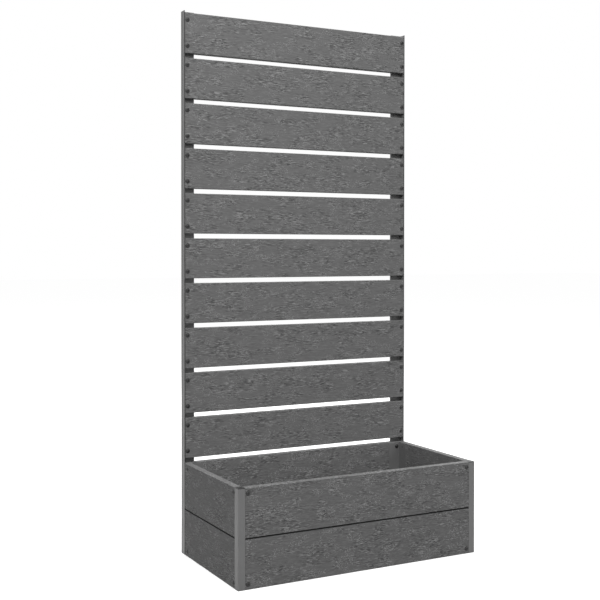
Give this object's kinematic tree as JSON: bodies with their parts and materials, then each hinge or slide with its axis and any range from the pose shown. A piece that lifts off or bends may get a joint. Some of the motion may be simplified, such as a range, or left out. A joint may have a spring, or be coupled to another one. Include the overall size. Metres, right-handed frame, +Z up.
{
  "type": "planter with trellis",
  "caption": "Rectangular planter box of grey wood-grain boards on metal corner posts, with a tall slatted trellis standing on its back edge.",
  "frame": {"origin": "on the ground, under the middle of the box's footprint", "axes": "+Z up along the posts; +X to the right along the front; +Y from the front to the trellis at the back"},
  "size_m": [0.806, 0.403, 1.644],
  "materials": {
    "board": "matte",
    "frame_metal": "satin",
    "inner_metal": "satin",
    "cap": "matte",
    "floor": "matte",
    "screw": "satin"
  },
  "bodies": {
    "root": {"back_board_lower": "board", "back_board_screws": "screw", "back_board_upper": "board", "corner_cap_left": "cap", "corner_cap_right": "cap", "corner_post_left": "frame_metal", "corner_post_right": "frame_metal", "floor_bearer_back": "inner_metal", "floor_bearer_front": "inner_metal", "floor_bearer_screws": "screw", "floor_slat_1": "floor", "floor_slat_2": "floor", "floor_slat_3": "floor", "floor_slat_4": "floor", "floor_slat_5": "floor", "floor_slat_6": "floor", "front_board_lower": "board", "front_board_screws": "screw", "front_board_upper": "board", "left_board_lower": "board", "left_board_screws": "screw", "left_board_upper": "board", "rear_bracket_left": "inner_metal", "rear_bracket_right": "inner_metal", "rear_post_left": "frame_metal", "rear_post_right": "frame_metal", "right_board_lower": "board", "right_board_screws": "screw", "right_board_upper": "board", "trellis_screws_left": "screw", "trellis_screws_right": "screw", "trellis_slat_01": "board", "trellis_slat_02": "board", "trellis_slat_03": "board", "trellis_slat_04": "board", "trellis_slat_05": "board", "trellis_slat_06": "board", "trellis_slat_07": "board", "trellis_slat_08": "board", "trellis_slat_09": "board", "trellis_slat_10": "board"}
  },
  "joints": []
}
